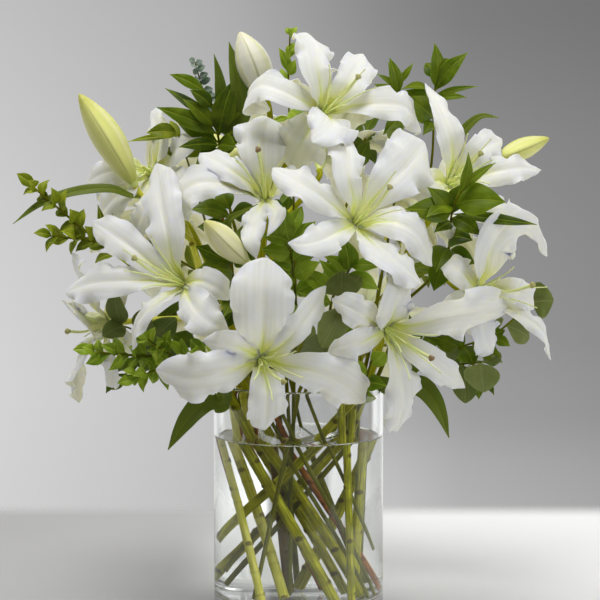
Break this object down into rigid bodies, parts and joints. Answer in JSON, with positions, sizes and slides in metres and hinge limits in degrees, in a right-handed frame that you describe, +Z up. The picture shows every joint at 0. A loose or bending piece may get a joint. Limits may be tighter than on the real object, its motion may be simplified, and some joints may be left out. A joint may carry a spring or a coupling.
{
  "type": "lilies in a vase",
  "caption": "Round bouquet of open white lilies and buds with mixed small-leaved greens, standing in a clear cylinder vase of water.",
  "frame": {"origin": "centre of the vase's underside", "axes": "+Z up the vase, -Y towards the front of the bouquet as pictured, +X to the right"},
  "size_m": [0.4726, 0.4229, 0.5172],
  "materials": {
    "clear_glass": "clear polished glass",
    "water": "clear still water",
    "lily_petal": "matt waxy white petal",
    "lily_bud": "waxy yellow-green bud",
    "lily_stem": "smooth satin green stem and leaf",
    "myrtle_leaf": "glossy small leaf",
    "ruscus_leaf": "glossy pointed leaf",
    "eucalyptus_leaf": "matt grey-green leaf",
    "eucalyptus_blue": "matt blue-green leaf"
  },
  "bodies": {
    "root": {"vase": "clear_glass", "water": "water", "bud_left": "lily_bud", "bud_top": "lily_bud", "bud_centre": "lily_bud", "bud_right": "lily_bud", "bud_back_left": "lily_bud", "bud_back_right": "lily_bud", "lily_top": "lily_petal", "lily_upper_left": "lily_petal", "lily_centre": "lily_petal", "lily_left": "lily_petal", "lily_front": "lily_petal", "lily_lower_right": "lily_petal", "lily_right": "lily_petal", "lily_upper_right": "lily_petal", "lily_back_left": "lily_petal", "lily_far_left": "lily_petal", "lily_back_top": "lily_petal", "lily_back_upper_left": "lily_petal", "lily_back_upper_right": "lily_petal", "lily_back_low_left": "lily_petal", "lily_back_low_right": "lily_petal", "lily_stem_1": "lily_stem", "lily_stem_2": "lily_stem", "lily_stem_3": "lily_stem", "lily_stem_4": "lily_stem", "lily_stem_5": "lily_stem", "lily_stem_6": "lily_stem", "lily_stem_7": "lily_stem", "lily_stem_8": "lily_stem", "lily_stem_9": "lily_stem", "lily_stem_10": "lily_stem", "lily_stem_11": "lily_stem", "myrtle_branch_left": "myrtle_leaf", "ruscus_branch_top_left": "ruscus_leaf", "myrtle_branch_lower_left": "myrtle_leaf", "ruscus_branch_top_right": "ruscus_leaf", "ruscus_branch_right": "ruscus_leaf", "eucalyptus_branch_right": "eucalyptus_leaf", "eucalyptus_branch_left": "eucalyptus_leaf", "eucalyptus_branch_centre": "eucalyptus_leaf", "myrtle_branch_centre": "myrtle_leaf", "ruscus_branch_centre": "ruscus_leaf", "ruscus_branch_centre_left": "ruscus_leaf", "eucalyptus_small_branch": "eucalyptus_blue", "myrtle_branch_back_left": "myrtle_leaf", "myrtle_branch_back_right": "myrtle_leaf", "eucalyptus_branch_back": "eucalyptus_leaf", "ruscus_branch_back": "ruscus_leaf", "ruscus_branch_back_left": "ruscus_leaf", "ruscus_branch_back_right": "ruscus_leaf"}
  },
  "joints": []
}
